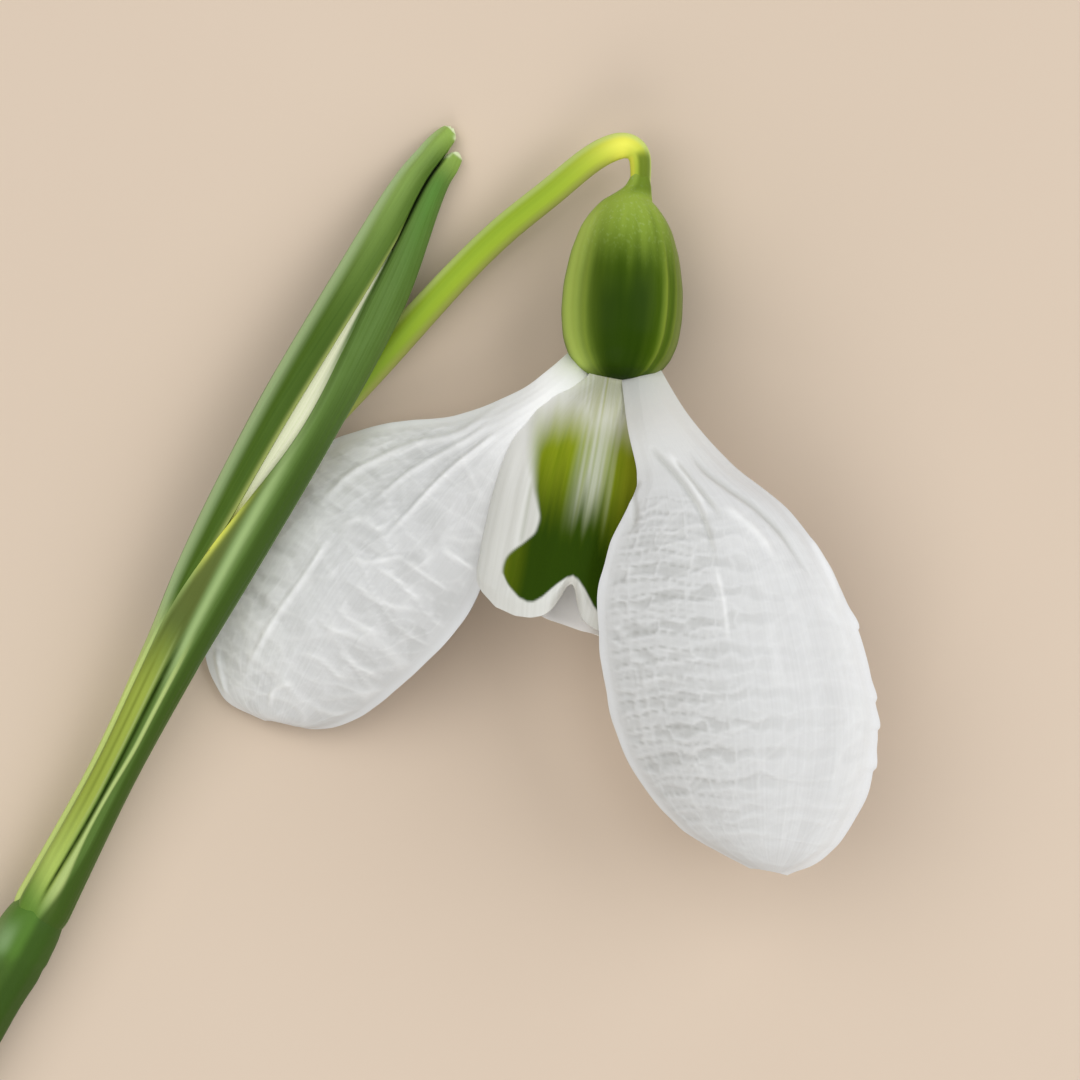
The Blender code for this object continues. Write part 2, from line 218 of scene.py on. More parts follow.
def spread(tree, source, low, high):
    """Stretch a socket's values so that low becomes 0 and high becomes 1."""
    ranger = tree.nodes.new("ShaderNodeMapRange")
    ranger.inputs["From Min"].default_value = low
    ranger.inputs["From Max"].default_value = high
    tree.links.new(source, ranger.inputs["Value"])
    return ranger.outputs["Result"]


def times(tree, first, second):
    """Multiply two sockets, or a socket and a number."""
    product = tree.nodes.new("ShaderNodeMath")
    product.operation = "MULTIPLY"
    tree.links.new(first, product.inputs[0])
    if isinstance(second, (int, float)):
        product.inputs[1].default_value = second
    else:
        tree.links.new(second, product.inputs[1])
    return product.outputs["Value"]


def layer(tree, under, over, amount):
    """Lay one colour over another where amount is 1; each colour is a socket or a red, green, blue triple."""
    mixer = tree.nodes.new("ShaderNodeMix")
    mixer.data_type = "RGBA"
    for socket, colour in ((mixer.inputs["A"], under), (mixer.inputs["B"], over)):
        if isinstance(colour, tuple):
            socket.default_value = (*colour, 1.0)
        else:
            tree.links.new(colour, socket)
    tree.links.new(amount, mixer.inputs["Factor"])
    return mixer.outputs["Result"]


def coats(piece, tree, colour, patches):
    """Lay patches over a colour: each is a name, how fully each corner takes it, and a colour of its own."""
    for name, fullness, tint in patches:
        mask(piece, name, np.clip(fullness, 0.0, 1.0))
        colour = layer(tree, colour, tint, read_mask(tree, name))
    return colour


def paint(tree, shader, colour, source, depth, strength=0.5):
    """Give the finish its colour, and raise it by a socket's value; depth is in millimetres."""
    tree.links.new(colour, shader.inputs["Base Color"])
    bump = tree.nodes.new("ShaderNodeBump")
    bump.inputs["Distance"].default_value = depth * MM
    bump.inputs["Strength"].default_value = strength
    tree.links.new(source, bump.inputs["Height"])
    tree.links.new(bump.outputs["Normal"], shader.inputs["Normal"])


STEM_RINGS, STEM_SIDES, CUT_RINGS = 260, 72, 5
stem, along, share, around, full = round_piece("stem", STEM_SIDES, STEM_RINGS, CUT_RINGS, 3.0)
centre, side, up = route_axes(STEM_ROUTE, share)
ribs = 0.02 * np.cos(STEM_RIBS * around) * fade(share, 0.1, 0.3)
points = round_points(centre, side, up, (smooth(STEM_RADII, share) + ribs) * full, around)
points += 0.03 * np.sin(share * 60)[:, None] * side * fade(share, 0.2, 0.4)[:, None]
place(stem, points)
left_side = np.sin(around)
cut_share = CUT_RINGS / STEM_RINGS
tree, shader = new_finish(stem, "stem green", 0.5, 0.12)
streaks = read_grain(tree, 0.35, detail=4.0)
colour = layer(tree, (0.045, 0.1, 0.011), (0.07, 0.135, 0.02), streaks)
# The node's skin is paler than the stem's. A paler band on the node's left and the paler left side are
# painted highlight, and the dark right side is painted shade.
colour = coats(stem, tree, colour, [
    ("node", 0.8 * fade(share, 0.42, 0.28), (0.1, 0.22, 0.028)),
    ("node_painted_highlight", 0.8 * band(share, 0.28, 0.075) * fade(left_side, 0.1, 0.45), (0.24, 0.37, 0.16)),
    ("stem_painted_highlight", 0.6 * fade(left_side, 0.6, 1.0), (0.17, 0.26, 0.07)),
    ("stem_painted_shade", 0.85 * fade(-left_side, -0.02, 0.3), (0.038, 0.083, 0.009)),
    ("cut", fade(along, 1 - 1.1 * cut_share, 1 - 0.9 * cut_share), (0.42, 0.5, 0.22)),
])
paint(tree, shader, colour, streaks, 0.05)
shader.inputs["Sheen Weight"].default_value = 0.05
shader.inputs["Sheen Tint"].default_value = (0.75, 0.9, 0.5, 1.0)
finish(stem, "scape")

# --------------------------------------------------
# The sheath (spathe): two long green bracts that are joined over most of their length and part at the tips.
# They grow from the node, wrap the flower's stalk, and each is a firm blade with a pale edge.
# The sheath's outline from the node to its tip, the height of its middle, and its depth. Then where each
# bract's front margin lies across it, and the angle in degrees to which the bract wraps round to the back.
SHEATH_LEFT = [(-27.05, -18.8), (-22.85, -11.45), (-19.95, -5.2), (-17.75, 0.0), (-14.2, 7.0), (-10.45, 13.45),
               (-7.65, 18.1), (-6.1, 20.0), (-4.8, 21.1)]
SHEATH_RIGHT = [(-24.3, -20.4), (-20.6, -12.7), (-17.3, -6.75), (-14.4, -1.95), (-10.4, 4.85), (-6.9, 11.4),
                (-4.95, 16.9), (-4.15, 18.7), (-3.7, 20.1)]
SHEATH_HEIGHT = [2.1, 2.55, 3.2, 3.75, 3.7, 2.85, 1.35, 0.5, 0.0]
SHEATH_DEPTH = [1.5, 1.35, 1.4, 1.65, 1.75, 1.5, 1.05, 0.75, 0.6]
LEFT_MARGIN = [0.03, 0.055, 0.12, 0.35, 0.42, 0.49, 0.63, 0.61, 0.61]
RIGHT_MARGIN = [0.05, 0.06, 0.09, 0.31, 0.64, 0.54, 0.595, 0.61, 0.63]
LEFT_BACK = [172, 171, 170, 160, 130, 105, 90, 80, 80]
RIGHT_BACK = [172, 171, 170, 140, 100, 98, 90, 80, 80]
# Each bract: its side, and how far up the sheath it reaches.
BRACTS = [("left", 1.0), ("right", 0.93)]
BRACT_THICKNESS = 0.5
BRACT_COLUMNS, BRACT_ROWS = 96, 260
# The length over which a bract's tip is rounded, as a share of the sheath's.
BRACT_TIP = 0.055
# How far the middle of each blade lies inside the sheath's outline.
WALL_INSET = 0.3


def flat_piece(name, columns, rows):
    """A flat grid to be shaped into a blade, with each corner's shares across it and down it."""
    bpy.ops.object.select_all(action="DESELECT")
    bpy.ops.mesh.primitive_grid_add(x_subdivisions=columns, y_subdivisions=rows, size=2.0)
    piece = bpy.context.object
    piece.name = piece.data.name = name
    corners = corners_of(piece)
    return piece, (corners[:, 0] + 1) / 2, (1 - corners[:, 1]) / 2


def thicken(piece, heights, thickness, edge_share, edge_distance):
    """Give a blade its thickness, thinned towards its edges, where the edge distance falls to 0.

    Then both its faces are moved together by heights in millimetres, along the smooth blade's normals.
    """
    normals = np.empty(len(piece.data.vertices) * 3)
    piece.data.vertices.foreach_get("normal", normals)
    moves = normals.reshape(-1, 3) * np.asarray(heights)[:, None] * MM
    group = piece.vertex_groups.new(name="fleshy")
    for index, weight in enumerate(np.clip(edge_distance, 0.0, 1.0)):
        group.add([index], float(weight), "REPLACE")
    bpy.context.view_layer.objects.active = piece
    wall = piece.modifiers.new("blade", "SOLIDIFY")
    wall.thickness = thickness * MM
    wall.offset = 0.0
    wall.vertex_group = group.name
    wall.thickness_vertex_group = edge_share
    bpy.ops.object.modifier_apply(modifier=wall.name)
    put_corners(piece, corners_of(piece) + np.concatenate((moves, moves)))


def margin_angle(margins, share):
    """Where a margin lies round the sheath, from its place across the sheath's width."""
    return np.arcsin(np.clip(2 * smooth(margins, share) - 1, -0.98, 0.98))


def sheath_points(share, angle):
    """Points on the sheath; the angle is 0 at the front and grows to the right."""
    left, right = smooth(SHEATH_LEFT, share), smooth(SHEATH_RIGHT, share)
    width = np.linalg.norm(right - left, axis=1)
    sideways = (right - left) / width[:, None]
    inset = WALL_INSET - 0.12 * fade(share, 0.8, 0.92)
    half = np.maximum(width / 2 - inset, 0.1)
    depth = np.maximum(smooth(SHEATH_DEPTH, share) - inset, 0.1)
    flat = (left + right) / 2 + sideways * (half * np.sin(angle))[:, None]
    height = smooth(SHEATH_HEIGHT, share) + depth * np.cos(angle)
    return np.column_stack((flat, height))


def bract_angles(across, share, start, end, reach):
    """Spread a bract between its two margins, drawn in to a rounded tip."""
    tip = np.clip((share - reach + BRACT_TIP) / BRACT_TIP, 0.0, 1.0)
    fullness = (1 - 0.99 * tip ** 2.6) ** 0.5
    return (start + end) / 2 + (end - start) * (across - 0.5) * fullness


def green_blade(piece, name, dull, bright, patches):
    """The bracts' finish: waxy green with fine lengthwise streaks, and patches of other colours, some of them
    painted highlight and shade.
    """
    tree, shader = new_finish(piece, name, 0.5, 0.12)
    streaks = read_grain(tree, 0.03, (1.0, 0.06, 1.0), 4.0, uv=True)
    clouds = read_grain(tree, 1.6, detail=2.0)
    colour = layer(tree, dull, bright, spread(tree, streaks, 0.3, 0.7))
    colour = layer(tree, colour, bright, times(tree, spread(tree, clouds, 0.45, 0.75), 0.5))
    paint(tree, shader, coats(piece, tree, colour, patches), streaks, 0.04)
    shader.inputs["Sheen Weight"].default_value = 0.05
    shader.inputs["Sheen Roughness"].default_value = 0.4
    shader.inputs["Sheen Tint"].default_value = (0.75, 0.95, 0.5, 1.0)


for bract_side, tip_at in BRACTS:
    bract, across, down = flat_piece(f"{bract_side}_bract", BRACT_COLUMNS, BRACT_ROWS)
    share = (1 - down) * tip_at
    if bract_side == "left":
        margin_distance = 1 - across
        start, end = -np.radians(smooth(LEFT_BACK, share)), margin_angle(LEFT_MARGIN, share)
    else:
        margin_distance = across
        start, end = margin_angle(RIGHT_MARGIN, share), np.radians(smooth(RIGHT_BACK, share))
    angle = bract_angles(across, share, start, end, tip_at)
    place(bract, sheath_points(share, angle))
    aside = (np.sin(angle) + 1) / 2
    front = fade(np.cos(angle), 0.0, 0.3)
    heights = 0.02 * flat_grain(angle * 2.4, share * 4.0, 0.3, 3.0) - 0.24 * fade(share, 0.03, 0.0)
    if bract_side == "left":
        # Above the membrane this bract's margin is tucked in under the right one's, and the gap there is painted
        # as dark shadow.
        gap = fade(aside, 0.56, 0.585) * fade(share, 0.6, 0.68) * fade(share, 0.92, 0.86) * front
        heights += 0.12 * band(aside, 0.22, 0.12) * fade(share, 0.35, 0.6) * front - 0.45 * gap
        greens = (0.055, 0.115, 0.008), (0.08, 0.15, 0.015)
        patches = [
            ("dark", 0.7 * band(aside, 0.42, 0.14) * fade(share, 0.7, 0.5) * front, (0.04, 0.085, 0.006)),
            ("light", 0.8 * fade(share, 0.56, 0.76) * fade(aside, 0.6, 0.1), (0.32, 0.48, 0.12)),
            # The pale left rim is partly the bract's waxy bloom and partly a painted highlight where light
            # catches it.
            ("lit_pale_rim", 0.9 * fade(aside, 0.2, 0.03) * front * fade(share, 0.15, 0.3), (0.45, 0.62, 0.3)),
            ("low", fade(share, 0.33, 0.2), (0.6, 0.72, 0.22)),
            # The pale line along the margin is a painted highlight.
            ("margin", 0.7 * band(margin_distance, 0.0, 0.035) * fade(share, 0.74, 0.66)
             * fade(share, 0.34, 0.4), (0.42, 0.48, 0.14)),
        ]
    else:
        # A groove runs up the lower half, with a bright stripe on its right that widens towards the node.
        groove = 0.42 + 0.13 * fade(share, 0.02, 0.12)
        stripe = 0.6 + 0.09 * fade(share, 0.09, 0.17)
        stripe_width = 0.035 + 0.09 * fade(share, 0.09, 0.02)
        dark_from = 0.72 - 0.24 * fade(share, 0.085, 0.0)
        low = fade(share, 0.3, 0.22) * fade(share, 0.02, 0.055)
        margin = band(margin_distance, 0.0, 0.07)
        margin_lip = band(margin_distance, 0.0, 0.05)
        # A dark band beside the margin over the upper part is painted shadow of the slit between the bracts.
        gap = (band(margin_distance, 0.0, 0.04) * fade(share, 0.58, 0.68)
               * fade(share, tip_at - 0.05, tip_at - 0.08))
        heights -= 0.3 * margin * fade(share, 0.42, 0.6) * front
        heights += 0.12 * margin_lip * fade(share, 0.22, 0.3) * fade(share, 0.44, 0.38)
        heights -= 0.25 * band(aside, groove, 0.035) * low * front
        heights += 0.12 * band(aside, stripe, 0.06) * low * front
        heights += 0.15 * band(aside, 0.63, 0.1) * fade(share, 0.2, 0.3) * fade(share, 0.62, 0.45) * front
        heights -= 0.1 * band(aside, 0.4, 0.12) * fade(share, 0.5, 0.3) * front
        greens = (0.09, 0.165, 0.026), (0.12, 0.21, 0.046)
        streaked = fade(aside, groove - 0.02, groove - 0.14) * fade(share, 0.3, 0.2)
        streaks = band(aside, 0.29, 0.03) + 0.5 * band(aside, 0.13, 0.02)
        patches = [
            ("olive", 0.85 * fade(aside, 0.6, 0.5) * band(share, 0.34, 0.12) * front, (0.11, 0.135, 0.025)),
            ("yellow", 0.95 * streaked * front, (0.34, 0.42, 0.06)),
            ("streak", 0.7 * streaks * low, (0.17, 0.21, 0.02)),
            ("pale_line", 0.7 * band(aside, groove - 0.1, 0.02) * low * fade(share, 0.06, 0.12),
             (0.4, 0.5, 0.17)),
            # The pale stripe along the keel is a painted highlight.
            ("painted_ridge_highlight", 0.85 * band(aside, 0.63, 0.07) * fade(share, 0.58, 0.4) * fade(share, 0.2, 0.28)
             * front, (0.38, 0.52, 0.21)),
            ("throat", 0.9 * fade(share, 0.12, 0.04) * fade(aside, 0.62, 0.5) * front, (0.44, 0.57, 0.13)),
            ("stripe", 0.9 * fade(np.abs(aside - stripe), 1.5 * stripe_width, 0.5 * stripe_width)
             * fade(share, 0.3, 0.22), (0.48, 0.6, 0.21)),
            ("node_end", 0.9 * fade(share + 0.03 * (aside - 0.5), 0.055, 0.015), (0.1, 0.215, 0.025)),
            # The dark right side is painted shade.
            ("dark", 0.9 * fade(aside - dark_from, 0.0, 0.12) * fade(share, 0.62, 0.45) * front,
             (0.045, 0.09, 0.009)),
            # The groove's dark line is painted shade.
            ("groove", 0.95 * band(aside, groove, 0.03) * low, (0.03, 0.065, 0.003)),
            ("patch", 0.6 * band(share, 0.76, 0.08) * band(aside, 0.8, 0.15), (0.1, 0.27, 0.035)),
            ("lip", 0.8 * band(margin_distance, 0.0, 0.035) * fade(share, 0.45, 0.4), (0.33, 0.45, 0.14)),
            ("line", band(margin_distance, 0.0, 0.045) * band(share, 0.395, 0.032), (0.72, 0.74, 0.1)),
        ]
    tip_rim = np.maximum(fade(share, tip_at - 0.024, tip_at - 0.012),
                         band(margin_distance, 0.0, 0.12) * fade(share, tip_at - 0.05, tip_at - 0.035))
    # The gap patch is painted shadow.
    patches += [("tip", 0.65 * fade(share, tip_at - 0.16, tip_at - 0.01), (0.36, 0.53, 0.1)),
                ("tip_rim", 0.95 * tip_rim, (0.85, 0.95, 0.6)), ("gap", 0.95 * gap, (0.012, 0.03, 0.002))]
    green_blade(bract, f"{bract_side} bract green", *greens, patches)
    edge = np.minimum(np.minimum(across, 1 - across) / 0.08, np.minimum(share, tip_at - share) / 0.02)
    thicken(bract, heights, BRACT_THICKNESS, edge_share=0.4, edge_distance=edge)
    finish(bract, f"spathe_{bract_side}_bract")

# The papery membrane joins the bracts' margins over the middle of the sheath; it is thin, dry and cream.
MEMBRANE_FROM, MEMBRANE_TO = 0.375, 0.675
MEMBRANE_OVERLAP, MEMBRANE_THICKNESS = 0.035, 0.12
MEMBRANE_COLUMNS, MEMBRANE_ROWS = 20, 90
membrane, across, down = flat_piece("sheath_membrane", MEMBRANE_COLUMNS, MEMBRANE_ROWS)
share = MEMBRANE_FROM + (MEMBRANE_TO - MEMBRANE_FROM) * (1 - down)
start = margin_angle(LEFT_MARGIN, share) - MEMBRANE_OVERLAP
end = margin_angle(RIGHT_MARGIN, share) + MEMBRANE_OVERLAP
place(membrane, sheath_points(share, start + (end - start) * across))
# Its right side and upper end, where it runs in under the right bract, are painted with shadow.
shadow = np.maximum(fade(across, 0.4, 0.85) * fade(share, 0.5, 0.6), fade(share, 0.63, 0.68))
tree, shader = new_finish(membrane, "membrane cream", 0.55, 0.3)
fibres = read_grain(tree, 0.08, (1.0, 0.05, 1.0), 4.0, uv=True)
colour = layer(tree, (0.66, 0.7, 0.44), (0.8, 0.79, 0.6), spread(tree, fibres, 0.3, 0.7))
colour = coats(membrane, tree, colour, [("green_end", fade(share, 0.44, 0.4), (0.72, 0.72, 0.14)),
                                        ("membrane_painted_shadow", shadow, (0.1, 0.17, 0.04))])
paint(tree, shader, colour, fibres, 0.04)
sag = -0.16 - 0.05 * (1 - (2 * across - 1) ** 2)
crinkles = 0.03 * flat_grain(across * 3, share * 24, 1.0, 8.0)
edge = np.minimum(across, 1 - across) / 0.1
thicken(membrane, sag + crinkles, MEMBRANE_THICKNESS, edge_share=0.6, edge_distance=edge)
finish(membrane, "spathe_membrane")

# --------------------------------------------------
# The flower's stalk (pedicel): a thin, springy yellow-green stalk that leaves the node inside the sheath,
# arches out behind the right bract and bends sharply over to carry the nodding flower.
STALK_ROUTE = [(-25.1, -18.6, 2.1), (-21.7, -12.1, 2.55), (-18.6, -6.0, 3.2), (-16.1, -1.0, 3.5),
               (-13.9, 2.6, 3.05), (-11.6, 5.3, 2.35), (-8.3, 8.9, 1.6), (-4.4, 13.15, 1.5), (-2.0, 15.5, 1.8),
               (0.5, 17.5, 2.4), (2.5, 19.1, 2.9), (3.75, 19.75, 3.1), (4.55, 19.75, 3.25), (5.0, 19.2, 3.4),
               (5.04, 17.9, 3.6)]
STALK_RADII = [0.5, 0.52, 0.55, 0.6, 0.7, 0.78, 0.82, 0.76, 0.74, 0.72, 0.7, 0.68, 0.62, 0.55, 0.5]
STALK_RINGS, STALK_SIDES, STALK_END_RINGS = 300, 40, 4
stalk, _, share, around, full = round_piece("arching_stalk", STALK_SIDES, STALK_RINGS, STALK_END_RINGS, 3.0)
centre, side, up = route_axes(STALK_ROUTE, share)
ribs = 0.018 * np.cos(5 * around + 0.6) * fade(share, 0.3, 0.5)
place(stalk, round_points(centre, side, up, (smooth(STALK_RADII, share) + ribs) * full, around))
outer_side = -np.sin(around)
tree, shader = new_finish(stalk, "stalk yellow green", 0.5, 0.12)
streaks = read_grain(tree, 0.12, (1.0, 0.03, 1.0), 3.0, uv=True)
colour = layer(tree, (0.29, 0.43, 0.025), (0.38, 0.52, 0.04), spread(tree, streaks, 0.3, 0.7))
# The pale upper edge is painted highlight and the brownish under edge painted reflection; the bend is yellow and
# brightened further as painted highlight.
colour = coats(stalk, tree, colour, [
    ("sheathed", fade(share, 0.52, 0.36), (0.16, 0.28, 0.02)),
    ("bend_yellow_and_highlight", 0.95 * band(share, 0.83, 0.1), (0.95, 0.93, 0.12)),
    ("stalk_painted_highlight", 0.8 * fade(outer_side, 0.45, 0.95), (0.62, 0.76, 0.24)),
    ("stalk_painted_reflection", 0.6 * fade(-outer_side, 0.35, 0.95) * fade(share, 0.8, 0.7), (0.4, 0.36, 0.13)),
    ("end", 0.85 * fade(share, 0.9, 0.94) * fade(outer_side, -0.4, 0.0) * fade(outer_side, 0.97, 0.85),
     (0.11, 0.17, 0.008)),
    ("hollow_side", 0.8 * fade(share, 0.9, 0.93) * fade(outer_side, -0.4, -0.75), (0.75, 0.72, 0.08)),
])
paint(tree, shader, colour, streaks, 0.03)
shader.inputs["Sheen Weight"].default_value = 0.05
shader.inputs["Sheen Tint"].default_value = (0.85, 1.0, 0.4, 1.0)
finish(stalk, "pedicel")

# --------------------------------------------------
# The ovary: a firm, glossy dark green egg with shallow ribs and pale seams. Its neck is drawn up to the
# stalk's end, and the petals grow from its lower rim.
# Each ring of the neck: its place and radius. Each ring of the body: its share of the way down, and its radius.
NECK = [((5.05, 18.6, 3.52), 0.4), ((5.02, 18.15, 3.58), 0.5), ((4.92, 17.7, 3.62), 0.66),
        ((4.68, 17.35, 3.67), 0.93), ((4.42, 17.0, 3.72), 1.22)]
OVARY_TOP = np.array((4.4, 16.75, 3.78))
OVARY_BASE = np.array((3.9, 7.85, 5.1))
OVARY_RADII = [(0.0, 1.5), (0.06, 1.93), (0.135, 2.32), (0.28, 2.74), (0.46, 3.01), (0.62, 3.05),
               (0.76, 2.9), (0.86, 2.56), (0.94, 1.97), (0.985, 1.2), (1.0, 0.45)]
OVARY_RINGS, OVARY_SIDES, OVARY_END_RINGS = 150, 120, 3
# Pale seams: angle round the ovary from the top, growing to the right, and how strongly each shows.
SEAMS = [(-0.7, 0.5), (-0.95, 0.35), (0.78, 1.0), (1.07, 0.7), (2.1, 0.6), (3.1, 0.6), (4.2, 0.6)]
ovary, _, share, around, full = round_piece("ribbed_ovary", OVARY_SIDES, OVARY_RINGS, OVARY_END_RINGS, 2.0)
axis = OVARY_BASE - OVARY_TOP
# The outline is read at even steps of its length, from the neck down, and its radii are softened.
rings = NECK + [(OVARY_TOP + axis * down, radius) for down, radius in OVARY_RADII]
rings = np.array([(*point, radius) for point, radius in rings])
lengths = np.concatenate(((0.0,), np.cumsum(np.linalg.norm(np.diff(rings, axis=0), axis=1))))
even = np.linspace(0.0, lengths[-1], 60)
even_rings = np.column_stack([np.interp(even, lengths, column) for column in rings.T])
softened = np.convolve(np.pad(even_rings[:, 3], 2, mode="edge"), (0.1, 0.2, 0.4, 0.2, 0.1), "valid")
left, up = cross_axes(axis)
body = np.sin(math.pi * np.clip((share - 0.16) / 0.84, 0.0, 1.0)) ** 0.6
seam = np.zeros(len(share))
hollow = np.zeros(len(share))
for seam_angle, strength in SEAMS:
    gap = np.abs((around - seam_angle + math.pi) % (2 * math.pi) - math.pi)
    seam = np.maximum(seam, strength * band(gap, 0.0, 0.045))
    hollow = np.maximum(hollow, strength * band(gap, 0.1, 0.06))
reach = smooth(softened, share) + (0.04 * seam - 0.05 * hollow + 0.03 * np.cos(6 * around + 1.2)) * body
place(ovary, round_points(smooth(even_rings[:, :3], share), -left, up, reach * full, around))
ragged = share + 0.05 * grain(np.column_stack((np.sin(around) * 3, np.cos(around) * 3, share * 2)), 0.5, 6.0)
middle = fade(np.abs(around - 0.02), 0.8, 0.3) * fade(ragged, 0.3, 0.62)
neck = fade(share, 0.16, 0.08) * fade(np.sin(around), -0.55, 0.1) * fade(np.sin(around), 0.99, 0.9)
tree, shader = new_finish(ovary, "ovary green", 0.45, 0.05)
streaks = read_grain(tree, 0.03, (1.0, 0.05, 1.0), 4.0, uv=True)
speckles = read_grain(tree, 0.16, (1.0, 0.6, 1.0), 1.0)
mask(ovary, "speckled", 0.4 * fade(ragged, 0.5, 0.16))
speckled = times(tree, spread(tree, speckles, 0.55, 0.72), read_mask(tree, "speckled"))
colour = layer(tree, (0.06, 0.115, 0.003), (0.1, 0.17, 0.009), spread(tree, streaks, 0.35, 0.65))
# The dark middle is painted shade and the pale bands on the left and right are painted highlight. The bottom is
# darker, partly its own green and partly painted shadow.
colour = coats(ovary, tree, colour, [
    ("middle", 0.92 * middle, (0.018, 0.045, 0.0004)),
    ("top", 0.72 * fade(ragged, 0.5, 0.16), (0.42, 0.57, 0.085)),
    ("ovary_painted_highlight_left", 0.88 * band(around, -1.12, 0.36) * fade(share, 0.12, 0.3) * fade(share, 1.0, 0.85),
     (0.5, 0.63, 0.13)),
    ("ovary_painted_highlight_right", 0.75 * band(around, 1.32, 0.22) * fade(share, 0.12, 0.3), (0.24, 0.29, 0.07)),
    ("seam", 0.65 * seam * body * fade(share, 0.25, 0.5), (0.3, 0.38, 0.05)),
    ("bottom", 0.7 * fade(share, 0.84, 0.97), (0.014, 0.035, 0.0005)),
])
colour = layer(tree, colour, (0.42, 0.55, 0.2), speckled)
colour = coats(ovary, tree, colour, [("neck", 0.75 * neck, (0.11, 0.18, 0.01))])
paint(tree, shader, colour, streaks, 0.03)
finish(ovary, "ovary")

# --------------------------------------------------
# Style and stamens: a pale column with a green tip stands in the middle of the inner cup, and six orange
# anthers with pointed tips close round it on short pale filaments. All grow from the ovary's floor.
CUP_BASE = np.array((3.4, 7.75, 5.1))
CUP_MOUTH = np.array((1.2, -4.0, 5.7))
cup_axis = CUP_MOUTH - CUP_BASE
cup_length = np.linalg.norm(cup_axis)
cup_ahead = cup_axis / cup_length
cup_side, cup_up = cross_axes(cup_axis)
STYLE_LENGTH = 7.6
STYLE_RADII = [0.24, 0.2, 0.2, 0.22, 0.26, 0.29, 0.28, 0.2, 0.1]
STYLE_RINGS, STYLE_SIDES = 80, 24
STAMENS = 6
STAMEN_LENGTH = 5.5
STAMEN_RADII = [0.13, 0.12, 0.11, 0.3, 0.4, 0.41, 0.38, 0.32, 0.22, 0.12, 0.06]
STAMEN_RINGS, STAMEN_SIDES = 64, 20
POINT_RINGS = 3

style, _, share, around, full = round_piece("style_column", STYLE_SIDES, STYLE_RINGS, POINT_RINGS, 2.0)
reach = smooth(STYLE_RADII, share) * full * (1 + 0.08 * np.cos(3 * around))
centre = CUP_BASE + cup_ahead * (STYLE_LENGTH * share)[:, None]
place(style, round_points(centre, cup_side, cup_up, reach, around))
tree, shader = new_finish(style, "style pale", 0.4, 0.4)
clouds = read_grain(tree, 0.3)
colour = layer(tree, (0.62, 0.68, 0.45), (0.75, 0.78, 0.6), clouds)
colour = coats(style, tree, colour, [("tip", fade(share, 0.82, 0.97), (0.25, 0.4, 0.08))])
paint(tree, shader, colour, clouds, 0.02)
finish(style, "style")

for number in range(1, STAMENS + 1):
    facing = 2 * math.pi * (number - 0.5) / STAMENS
    outward = cup_side * math.sin(facing) + cup_up * math.cos(facing)
    stamen, _, share, around, full = round_piece(
        f"orange_stamen_{number}", STAMEN_SIDES, STAMEN_RINGS, POINT_RINGS, 2.0)
    reach = smooth(STAMEN_RADII, share) * full
    # The filaments lean outwards and the anthers lean in again; each anther has a furrow on its outer side.
    lean = 0.5 + 0.42 * fade(share, 0.05, 0.3) - 0.3 * fade(share, 0.45, 1.0)
    furrow = 1 - 0.22 * band(np.abs(around), 0.0, 0.35) * fade(share, 0.22, 0.34)
    place(stamen, CUP_BASE + cup_ahead * (STAMEN_LENGTH * share)[:, None]
          + outward * (lean + reach * furrow * np.cos(around))[:, None]
          + np.cross(outward, cup_ahead) * (reach * np.sin(around))[:, None])
    tree, shader = new_finish(stamen, f"anther orange {number}", 0.6, 0.3)
    pollen = read_grain(tree, 0.09, detail=2.0)
    anther = layer(tree, (0.62, 0.24, 0.02), (0.85, 0.48, 0.06), pollen)
    colour = coats(stamen, tree, (0.75, 0.76, 0.6), [("anther", fade(share, 0.18, 0.25), anther)])
    paint(tree, shader, colour, pollen, 0.03)
    finish(stamen, f"stamen_{number}")

# --------------------------------------------------
# The inner petals: three short, stiff petals that form a cup, each with a notch at its lip. A green mark in
# the shape of a wide arch covers most of each; its arms fade in streaks towards the claw.
# The cup's radius from its base to its mouth, and how flat it lies.
CUP_PROFILE = [1.2, 2.7, 3.5, 3.95, 4.15, 4.2, 4.2, 4.25]
CUP_FLATNESS = 0.82
INNER_THICKNESS = 0.35
# How far down from the claw the lip reaches, by the distance from the petal's middle line.
LIP = [(0.0, 10.3), (0.22, 10.48), (0.45, 11.05), (0.75, 11.72), (1.1, 12.08), (1.7, 12.3), (2.5, 12.33),
       (3.5, 12.05), (4.4, 11.35), (4.9, 10.6)]
# Each: name, node, way it faces, how much wider it lies, half-spread at claw and mouth, length, columns, rows.
INNER_PETALS = [("front_inner_petal", "inner_tepal_front", 0.0, 0.78, 46.0, 70.0, 1.0, 150, 150),
                ("left_inner_petal", "inner_tepal_left", 120.0, 0.0, 55.0, 58.5, 0.9, 90, 90),
                ("right_inner_petal", "inner_tepal_right", -120.0, 0.0, 55.0, 58.5, 1.05, 90, 90)]
# The mark: how wide it is from the middle line on each side, and where its lower edge runs beside the lip.
MARK_WIDTH = [(1.2, 3.3), (3.0, 3.1), (4.9, 2.85), (6.0, 2.55), (6.7, 2.28), (7.3, 2.08), (8.0, 2.1),
              (8.4, 2.3), (8.9, 2.8), (9.4, 3.22), (9.9, 3.36), (10.4, 3.32), (11.0, 3.0), (11.7, 2.4)]
MARK_LIP = [(0.0, 9.92), (0.3, 10.08), (0.7, 10.5), (1.25, 11.22), (1.6, 11.53), (1.9, 11.6), (2.35, 11.45),
            (2.95, 10.95), (3.3, 10.45)]


